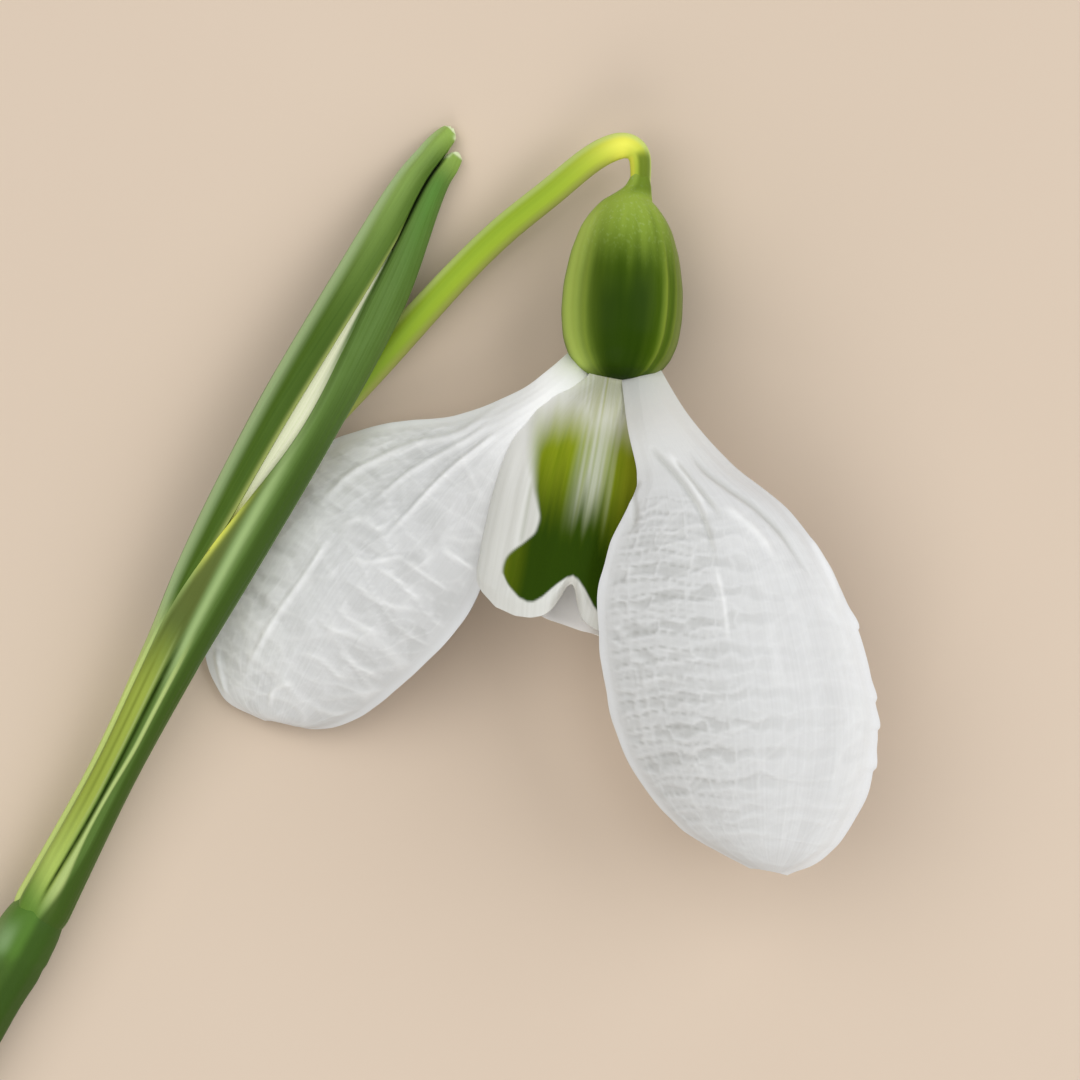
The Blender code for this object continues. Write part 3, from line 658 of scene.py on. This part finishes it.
def line_distance(points, line, steps=48):
    """Distance of each point from a smooth line, and the share of the line's length that it lies beside."""
    marks = smooth(line, np.linspace(0.0, 1.0, steps + 1))
    start, step = marks[:-1], np.diff(marks, axis=0)
    reach = points[:, None, :] - start[None]
    share = np.clip((reach * step).sum(2) / (step ** 2).sum(1), 0.0, 1.0)
    gap = np.linalg.norm(reach - share[..., None] * step, axis=2)
    nearest = gap.argmin(1)
    rows = np.arange(len(points))
    return gap[rows, nearest], (nearest + share[rows, nearest]) / steps


def curve(table, value):
    """Read a smooth curve through a table of (place, value) pairs."""
    places, values = np.transpose(table)
    even = np.interp(np.linspace(places[0], places[-1], 25), places, values)
    return smooth(even, (np.asarray(value, float) - places[0]) / (places[-1] - places[0]))


def mark_strength(aside, down_mm):
    """How green an inner petal is at places aside from its middle line and down from its claw."""
    aside = np.abs(aside)
    soft = 0.1 + 0.42 * fade(down_mm, 7.5, 3.5)
    from_side = (curve(MARK_WIDTH, down_mm) - aside) / soft
    return fade(from_side, -1.0, 1.0) * fade(curve(MARK_LIP, aside) - down_mm, -0.06, 0.12)


for name, node, facing, wider, claw_spread, mouth_spread, length, columns, rows in INNER_PETALS:
    petal, across, down = flat_piece(name, columns, rows)
    across = 2 * across - 1
    across = across * (0.6 + 0.4 * np.abs(across))
    lip_aside = np.abs((CUP_PROFILE[-1] + wider) * np.sin(np.radians(mouth_spread) * across))
    lip = curve(LIP, lip_aside) / cup_length
    # The claw is tucked in under the ovary, so the petal starts a little above the cup's base.
    reach_down = down * (1 + (lip - 1) * down ** 1.5) * length - 0.055 * (1 - down) ** 2
    spread_angle = np.radians(claw_spread + (mouth_spread - claw_spread) * np.minimum(down * 4, 1.0))
    # One corner of the right petal's lip turns up behind the front petal's notch.
    corner = fade(across, -0.1, -0.6) if name == "right_inner_petal" else np.zeros(len(across))
    reach_down *= 1 - 0.06 * corner * down
    angle = np.radians(facing) + spread_angle * across * (1 + 0.3 * corner)
    reach = smooth(CUP_PROFILE, reach_down) + wider * fade(down, 0.0, 0.16)
    points = (CUP_BASE + cup_axis * reach_down[:, None] + cup_side * (reach * np.sin(angle))[:, None]
              + cup_up * (reach * CUP_FLATNESS * np.cos(angle))[:, None])
    points[:, 2] += 4.4 * corner * fade(down, 0.5, 0.8) - 0.45 * fade(down, 0.12, 0.0)
    place(petal, points)
    across_mm = -reach * np.sin(spread_angle * across)
    down_mm = reach_down * cup_length
    lip_distance = (1 - down) * cup_length
    flutes = np.sin(across_mm * 6.5 + 0.8 * np.sin(across_mm * 2.1))
    # The lip rolls outwards, most of all beside the notch.
    notch_side = band(lip_aside, 0.35, 0.45)
    heights = (0.02 * flutes * fade(down, 1.0, 0.75) * fade(down, 0.0, 0.1)
               + 0.25 * notch_side * fade(lip_distance, 0.9, 0.0) + 0.12 * fade(lip_distance, 0.8, 0.0)
               + 0.04 * flat_grain(across_mm, down_mm, 1.6, facing))
    streak = flat_grain(across_mm * 3.4, down_mm * 0.16, 1.0, 21.0 + facing)
    fine_streak = flat_grain(across_mm * 9.0, down_mm * 0.14, 1.0, 31.0)
    # Pale streaks part the mark's two arms; the arms fade out upwards, the outer side first.
    wedge = fade(np.abs(across_mm) + 0.35 * streak, 1.15, 0.3) * fade(down_mm + 0.9 * streak, 7.9, 4.9)
    top = fade(down_mm - 0.3 * np.abs(across_mm) + 0.5 * streak, 0.1, 3.4)
    strength = (mark_strength(across_mm, down_mm) * top * (1 - wedge * (0.44 - 0.3 * fine_streak))
                * (1 - corner))
    side_streak = 0.22 * band(across_mm, -2.75, 0.1) * fade(down_mm, 3.6, 5.0) * fade(down_mm, 9.0, 8.4)
    claw_tint = (fade(down_mm, 6.5, 0.5) * band(across_mm, 0.1, 1.7)
                 * np.clip(0.45 + 0.4 * fine_streak, 0.0, 1.0))
    deep = (fade(down_mm + 0.9 * streak - fade(across_mm, 0.3, 2.0), 3.1, 8.4)
            * (0.6 + 0.4 * fade(-across_mm + 0.3 * streak, 3.3, 2.1)))
    inner_painted_highlight = fade(across, 0.35, 0.75) * (0.35 + 0.65 * fade(down, 0.6, 0.25))
    tree, shader = new_finish(petal, name.replace("_", " "), 0.6, 0.05)
    fibres = read_grain(tree, 0.02, (1.0, 0.05, 1.0), uv=True)
    # The white is laid a little grey as painted shade for the cup under the outer petals. Over it, one side of
    # each petal is a painted highlight, the far lip's corner is whitened as painted light, and the rolled lip
    # beside the notch is greyed as painted shade.
    white = layer(tree, (0.66, 0.66, 0.61), (0.74, 0.74, 0.7), spread(tree, fibres, 0.3, 0.7))
    white = coats(petal, tree, white, [
        ("inner_painted_highlight", 0.9 * inner_painted_highlight, (0.94, 0.94, 0.91)),
        ("far_lip_painted_light", corner * fade(down, 0.6, 0.8), (0.97, 0.94, 0.91)),
        ("rolled_lip_painted_shade", 0.6 * notch_side * fade(lip_distance, 0.55, 0.1), (0.52, 0.5, 0.45)),
    ])
    green = layer(tree, (0.27, 0.33, 0.012), (0.2, 0.27, 0.006), spread(tree, fibres, 0.3, 0.7))
    green = coats(petal, tree, green, [
        ("olive", 0.7 * fade(across_mm, 0.6, 2.6) * fade(down_mm, 8.0, 6.0), (0.22, 0.23, 0.015)),
        ("fading", 0.7 * fade(down_mm, 4.2, 1.0), (0.38, 0.38, 0.07)),
        ("deep", deep, (0.024, 0.055, 0.0002)),
    ])
    mark = np.maximum(strength, np.maximum(side_streak, claw_tint))
    paint(tree, shader, coats(petal, tree, white, [("mark", mark, green)]), fibres, 0.03)
    shader.inputs["Subsurface Weight"].default_value = 0.03
    shader.inputs["Subsurface Scale"].default_value = 0.2 * MM
    shader.inputs["Subsurface Radius"].default_value = (1.0, 1.0, 0.8)
    edge = np.minimum(np.minimum(1 - np.abs(across), 1 - down) / 0.06, 1.0)
    thicken(petal, heights, INNER_THICKNESS, edge_share=0.45, edge_distance=edge)
    finish(petal, node)

# --------------------------------------------------
# The outer petals: three large white spoon-shaped petals that hang from narrow claws under the ovary. Their
# flesh is puckered like seersucker between the veins, and folds fan out from each claw.
PETAL_THICKNESS = 0.35
# Each petal's shape, from its claw to its tip: its two margins, their heights, and how high its middle arches.
LEFT_PETAL = {
    "left": [(1.85, 9.75), (0.35, 8.35), (-1.15, 7.3), (-4.1, 6.2), (-7.75, 5.8), (-11.0, 4.75), (-14.2, 2.3),
             (-16.3, -1.4), (-17.0, -5.0), (-16.1, -7.85), (-14.0, -9.05)],
    "right": [(3.3, 8.8), (1.75, 7.0), (0.05, 5.6), (-1.3, 3.9), (-1.95, 1.2), (-2.5, -1.5), (-3.95, -4.15),
              (-5.7, -6.1), (-8.0, -8.15), (-10.4, -9.4), (-12.4, -9.35)],
    "left_height": [4.0, 6.1, 5.9, 4.1, 1.9, 0.6, 0.45, 0.45, 0.45, 0.45, 0.5],
    "right_height": [4.2, 6.1, 6.55, 6.7, 6.8, 6.75, 6.35, 5.4, 3.5, 1.8, 0.7],
    "crown": [0.15, 0.35, 0.5, 0.7, 0.9, 1.1, 1.2, 1.1, 0.9, 0.6, 0.25],
}
RIGHT_PETAL = {
    "left": [(4.05, 8.55), (4.35, 5.5), (4.8, 3.2), (4.4, 1.75), (3.4, -0.4), (2.85, -3.4), (3.25, -7.1),
             (4.4, -10.9), (6.9, -14.1), (10.4, -16.15)],
    "right": [(5.75, 8.95), (7.3, 6.1), (9.5, 3.6), (12.3, 1.3), (14.5, -1.9), (15.95, -5.5), (16.65, -9.4),
              (16.0, -12.8), (14.3, -15.5), (12.2, -16.55)],
    "left_height": [4.6, 9.3, 10.5, 10.7, 10.8, 10.7, 10.1, 9.0, 8.2, 7.6],
    "right_height": [4.2, 8.3, 9.3, 9.6, 9.5, 9.1, 8.6, 8.0, 7.5, 7.3],
    "crown": [0.25, 0.5, 0.8, 1.1, 1.5, 1.8, 2.0, 1.8, 1.2, 0.4],
}
BACK_PETAL = {
    "left": [(3.5, 7.45), (3.9, 5.4), (4.5, 3.0), (4.55, 0.8), (4.1, -2.2), (4.2, -6.0), (5.2, -9.6),
             (7.2, -12.7), (9.9, -14.6)],
    "right": [(5.1, 7.5), (6.6, 5.6), (8.8, 3.4), (11.5, 1.0), (13.4, -2.2), (14.7, -5.8), (15.1, -9.3),
              (14.4, -12.4), (12.4, -14.6)],
    "left_height": [3.15, 1.85, 1.35, 1.35, 1.4, 1.5, 1.6, 1.8, 1.9],
    "right_height": [3.25, 2.3, 2.2, 2.1, 2.1, 2.1, 2.1, 2.1, 2.0],
    "crown": [-0.2, -0.5, -0.9, -1.3, -1.5, -1.55, -1.4, -1.0, -0.4],
}
# Folds: points of the line, half width, height (below 0 for a groove).
LEFT_FOLDS = [
    ([(-1.2, 7.3), (-3.75, 5.3), (-6.0, 4.8), (-7.8, 4.1), (-9.3, 3.35), (-10.5, 2.3), (-11.4, 1.25)],
     0.2, 0.12),
    ([(-2.0, 6.0), (-3.45, 5.0), (-5.1, 4.1), (-6.6, 3.2), (-7.8, 2.25), (-9.0, 1.4)], 0.16, 0.09),
    ([(-2.0, 5.3), (-2.85, 4.65), (-4.5, 3.35), (-5.7, 2.15), (-6.75, 1.05), (-8.1, -0.25)], 0.15, 0.12),
    ([(-10.5, 0.2), (-11.1, -0.85), (-12.0, -2.2), (-13.2, -3.85), (-14.25, -5.65), (-15.0, -7.15)],
     0.16, 0.09),
    ([(-16.35, -5.5), (-16.05, -7.0), (-15.75, -7.9)], 0.15, 0.1),
    ([(-9.5, -0.9), (-8.6, -1.15), (-7.4, -0.95), (-6.7, -0.85)], 0.13, 0.07),
    ([(-8.2, -1.25), (-6.9, -2.15), (-5.6, -3.3)], 0.12, 0.06),
    ([(-6.9, -0.95), (-5.4, -1.9), (-4.3, -2.6)], 0.12, 0.07),
    ([(-4.9, -0.4), (-3.8, -1.1), (-3.2, -1.35)], 0.12, 0.05),
    ([(-9.1, -2.1), (-8.3, -2.9), (-7.1, -3.35), (-6.0, -3.4)], 0.13, 0.05),
    ([(-11.1, -3.85), (-10.3, -4.45), (-9.3, -4.75), (-7.8, -5.5)], 0.14, 0.07),
    ([(-10.2, -3.2), (-9.2, -4.1), (-7.5, -4.7)], 0.12, 0.05),
    ([(-12.2, -5.6), (-11.0, -5.9), (-10.2, -6.6), (-9.5, -7.2)], 0.14, 0.06),
    ([(-10.1, -5.5), (-9.0, -6.3), (-7.7, -6.9)], 0.12, 0.05),
    ([(-9.9, 0.7), (-9.0, 0.95), (-8.1, 0.55), (-7.2, 1.15)], 0.12, 0.06),
    ([(-13.6, -8.4), (-13.4, -7.6), (-12.7, -7.2), (-12.2, -7.3)], 0.15, 0.06),
]
RIGHT_FOLDS = [
    ([(5.4, 4.6), (5.93, 3.95), (7.08, 2.6), (8.0, 1.05), (8.43, -0.45), (8.5, -1.5)], 0.15, -0.13),
    ([(6.6, 3.9), (7.25, 3.1), (8.25, 1.9), (8.95, 0.9)], 0.13, -0.08),
    ([(7.2, 4.4), (8.0, 3.35), (9.1, 2.5), (10.45, 1.55), (11.65, 0.4), (12.5, -0.8), (13.65, -2.5)],
     0.14, -0.11),
    ([(4.95, 3.0), (4.6, 2.25), (4.7, 1.05), (4.35, 0.2)], 0.16, -0.12),
    ([(6.1, 4.4), (7.0, 3.3), (7.75, 2.1), (8.3, 1.0)], 0.2, 0.08),
    ([(8.55, -1.2), (9.0, -3.2), (9.2, -5.2)], 0.12, 0.04),
    ([(8.9, 1.7), (10.6, 0.3), (11.6, -1.2)], 0.2, 0.07),
    ([(13.2, 0.2), (14.2, -1.6), (14.9, -3.6)], 0.2, 0.06),
]
BACK_FOLDS = [
    ([(4.6, 6.5), (6.5, 3.5), (8.5, 0.0), (9.0, -4.0)], 0.3, 0.12),
    ([(4.9, 6.3), (8.0, 3.2), (11.2, -0.5), (12.6, -4.5)], 0.25, 0.1),
    ([(4.4, 5.6), (5.3, 2.5), (5.6, -2.0), (6.0, -6.0)], 0.25, 0.1),
]
# Each: name, node, shape, folds, columns, rows, strips between veins, pucker spacing, turn of the pucker rows,
# and how high the pucker walls stand.
OUTER_PETALS = [
    ("left_outer_petal", "outer_tepal_left", LEFT_PETAL, LEFT_FOLDS, 150, 200, 6, 1.3, -38.0, 0.04),
    ("right_outer_petal", "outer_tepal_right", RIGHT_PETAL, RIGHT_FOLDS, 180, 260, 9, 0.72, 2.0, 0.1),
    ("back_outer_petal", "outer_tepal_back", BACK_PETAL, BACK_FOLDS, 90, 130, 9, 0.9, 5.0, 0.06),
]
# Where the right petal's outer margin is nicked, how deep, and over what length.
NICKS = [-4.35, -7.9, -9.3, -11.3]
NICK_DEPTH, NICK_LENGTH = 0.16, 1.3


def seersucker(points, across, strips, spacing, turn, seed):
    """Sunken blocks of flesh between veins and cross walls: 0 on a wall, up to 1 in a block."""
    cosine, sine = math.cos(math.radians(turn)), math.sin(math.radians(turn))
    flat = np.column_stack((points, np.zeros(len(points))))
    place_across = across * strips + 0.5 * grain(flat, 1.7, seed) + 0.25 * grain(flat, 0.6, seed + 4.0)
    strip = np.floor(place_across)
    in_strip = place_across - strip
    strip_width = np.ptp(points[:, 0]) / strips
    row = (points[:, 1] * cosine - points[:, 0] * sine) / spacing
    row = row + 0.55 * np.sin(strip * 12.9898 + seed) + 0.6 * grain(flat, 1.1, seed + 7.0)
    block = np.floor(row)
    in_row = row - block
    to_row_wall = np.minimum(in_row, 1 - in_row) * spacing
    to_strip_wall = np.minimum(in_strip, 1 - in_strip) * strip_width
    inside = fade(to_row_wall, 0.03, 0.2) * (0.3 + 0.7 * fade(to_strip_wall, 0.0, 0.2))
    return inside * (0.6 + 0.4 * np.sin(block * 78.233 + strip * 37.719 + seed))


def wrinkles(points, size, turn, seed):
    """Thin raised lines of crumpled flesh that mostly run one way: 1 on a line."""
    cosine, sine = math.cos(math.radians(turn)), math.sin(math.radians(turn))
    ahead = points[:, 0] * cosine + points[:, 1] * sine
    aside = points[:, 1] * cosine - points[:, 0] * sine
    return band(grain(np.column_stack((ahead * 0.4, aside, aside * 0)), size, seed), 0.0, 0.06)


for name, node, shape, folds, columns, rows, strips, spacing, turn, wall in OUTER_PETALS:
    petal, across, down = flat_piece(name, columns, rows)
    left, right = smooth(shape["left"], down), smooth(shape["right"], down)
    low, high = smooth(shape["left_height"], down), smooth(shape["right_height"], down)
    width = np.linalg.norm(right - left, axis=1)
    flat = left + (right - left) * across[:, None]
    height = low + (high - low) * across + smooth(shape["crown"], down) * (1 - (2 * across - 1) ** 2)
    edge_gap = np.minimum(across, 1 - across) * width
    # A petal's margin is a little uneven, and the right petal's outer margin is nicked.
    frill = flat_grain(down * 26, across * 2, 1.6, turn)
    sway = 0.1 * frill * fade(edge_gap, 1.2, 0.0) * fade(down, 0.35, 0.5) * (2 * across - 1)
    if name == "right_outer_petal":
        for nick in NICKS:
            above = flat[:, 1] - nick
            tooth = fade(above, NICK_LENGTH, 0.12) * fade(above, -0.12, 0.12)
            beside = fade(edge_gap, 0.9, 0.0) * fade(across, 0.5, 1.0) * band(above, 0.4, 0.9)
            sway += NICK_DEPTH * (tooth - 0.35) * beside
    flat += (right - left) * (sway / np.maximum(width, 0.01))[:, None]
    place(petal, np.column_stack((flat, height)))
    blocks = seersucker(flat, across, strips, spacing, turn, 3.0)
    fine = seersucker(flat, across, strips * 3, spacing * 0.5, turn, 9.0)
    crumple = wrinkles(flat, 1.5, turn, 12.0) + 0.6 * wrinkles(flat, 0.8, turn + 50, 15.0)
    patch = 0.5 + 0.5 * flat_grain(*flat.T, 3.2, 5.0)
    inner_part = fade(edge_gap, 0.15, 1.1) * fade(down, 0.24, 0.42) * fade(down, 1.0, 0.86)
    if name == "right_outer_petal":
        pucker = inner_part * (0.15 + 0.85 * fade(across, 0.78, 0.3) * fade(down, 0.98, 0.7))
        crumple *= 0.35 * inner_part
    else:
        pucker = inner_part * (0.15 + 0.5 * patch)
        crumple *= (0.4 + 0.6 * patch) * inner_part
    veins = np.sin(across * 46 + 1.5 * np.sin(down * 5))
    heights = (0.05 * crumple - wall * (0.8 * blocks + 0.6 * fine) * pucker
               + 0.05 * flat_grain(*flat.T, 1.1, 2.0) * fade(down, 0.15, 0.4)
               + 0.005 * veins * fade(down, 0.0, 0.3) + 0.04 * fade(edge_gap, 0.45, 0.0))
    painted_ridge_highlight, painted_crease_shade = np.zeros(len(down)), np.zeros(len(down))
    for line, half_width, fold_height in folds:
        gap, beside = line_distance(flat, line)
        profile = band(gap, 0.0, half_width) * fade(beside, 0.0, 0.2) * fade(beside, 1.0, 0.65)
        heights += fold_height * profile
        if fold_height > 0:
            painted_ridge_highlight = np.maximum(painted_ridge_highlight, profile)
        else:
            painted_crease_shade = np.maximum(painted_crease_shade, profile)
    # Besides the shaded parts, bright marks painted highlight: the left petal's upper left and claw, and the
    # other petals' right margins.
    if name == "left_outer_petal":
        shaded = fade(across, 0.35, 0.95) * fade(down, 0.3, 0.6)
        bright = np.maximum(fade(across, 0.4, 0.05) * fade(down, 1.0, 0.7), fade(down, 0.4, 0.15))
    else:
        shaded = 0.35 + 0.65 * fade(across, 0.85, 0.1)
        bright = 0.5 * fade(across, 0.8, 0.97) * fade(down, 0.3, 0.5)
    tree, shader = new_finish(petal, name.replace("_", " "), 0.55, 0.2)
    fibres = read_grain(tree, 0.012, (1.0, 0.04, 1.0), uv=True)
    skin = read_grain(tree, 0.22)
    colour = layer(tree, (0.72, 0.72, 0.715), (0.79, 0.792, 0.79), spread(tree, fibres, 0.3, 0.7))
    colour = coats(petal, tree, colour, [
        ("shaded", 0.7 * shaded, (0.6, 0.6, 0.59)),
        ("bright", 0.9 * bright, (0.95, 0.95, 0.94)),
        ("claw", 0.5 * fade(down, 0.3, 0.02), (0.86, 0.86, 0.79)),
        ("block", 0.5 * blocks * pucker, (0.4, 0.4, 0.38)),
        ("fine", 0.55 * fine * pucker * fade(across, 0.6, 0.2), (0.3, 0.3, 0.27)),
        # Fold ridges and crumpled lines are painted highlight, creases painted shade, and a paler edge rim a
        # painted highlight.
        ("painted_ridge_highlight", 0.7 * np.clip(0.7 * painted_ridge_highlight + 0.5 * crumple, 0.0, 1.0), (0.93, 0.93, 0.92)),
        ("painted_crease_shade", 0.6 * painted_crease_shade, (0.5, 0.5, 0.46)),
        ("lit_pale_rim", 0.3 * fade(edge_gap, 0.5, 0.1) * fade(down, 0.25, 0.4), (0.85, 0.86, 0.88)),
    ])
    paint(tree, shader, colour, skin, 0.04, 0.4)
    shader.inputs["Subsurface Weight"].default_value = 0.08
    shader.inputs["Subsurface Scale"].default_value = 0.4 * MM
    shader.inputs["Subsurface Radius"].default_value = (1.0, 1.0, 0.9)
    edge = np.minimum(edge_gap / 0.8, np.minimum(1 - down, 1.0) / 0.05)
    thicken(petal, heights, PETAL_THICKNESS, edge_share=0.4, edge_distance=edge)
    finish(petal, node)

# --------------------------------------------------
# The place: a plain pale surface, soft studio light from above, and a camera that looks straight down on the
# flower.
FLOOR_SIZE = 6.0
ROOM_LIGHT = 0.28
CAMERA_HEIGHT, CAMERA_LENS, CAMERA_WIDTH = 0.305, 200.0, 36.0
# Each light: name, place in metres, size, power, colour.
LIGHTS = [("window", (-0.2, 0.14, 0.5), 0.55, 1.6, (1.0, 0.985, 0.96)),
          ("second_window", (0.36, 0.16, 0.34), 0.4, 1.25, (0.97, 0.98, 1.0)),
          ("bounce", (-0.04, -0.36, 0.3), 0.3, 0.7, (1.0, 0.97, 0.93))]

bpy.ops.object.select_all(action="DESELECT")
bpy.ops.mesh.primitive_plane_add(size=FLOOR_SIZE, location=(0.0, 0.0, 0.0))
floor = bpy.context.object
floor.name = floor.data.name = "pale_surface"
tree, shader = new_finish(floor, "pale surface", 0.8, 0.2)
paper = layer(tree, (0.68, 0.55, 0.43), (0.72, 0.59, 0.47), read_grain(tree, 30.0))
tree.links.new(paper, shader.inputs["Base Color"])

scene = bpy.context.scene
scene.view_settings.view_transform = "Standard"
world = bpy.data.worlds.new("soft room")
world.use_nodes = True
room = world.node_tree.nodes["Background"]
room.inputs["Color"].default_value = (0.9, 0.95, 1.0, 1.0)
room.inputs["Strength"].default_value = ROOM_LIGHT
scene.world = world

# Each light is square, faces the middle of the flower, and doesn't show itself.
for name, spot, size, power, tint in LIGHTS:
    bpy.ops.object.light_add(type="AREA", location=spot)
    light = bpy.context.object
    light.name = name
    light.data.shape = "SQUARE"
    light.data.size = size
    light.data.energy = power
    light.data.color = tint
    light.rotation_euler = (ORIGIN - light.location).to_track_quat("-Z", "Y").to_euler()
    light.visible_camera = False

bpy.ops.object.camera_add(location=ORIGIN + Vector((0.0, 0.0, CAMERA_HEIGHT)), rotation=(0.0, 0.0, 0.0))
camera = bpy.context.object
camera.data.lens = CAMERA_LENS
camera.data.sensor_width = CAMERA_WIDTH
camera.data.clip_start = 0.01
scene.camera = camera
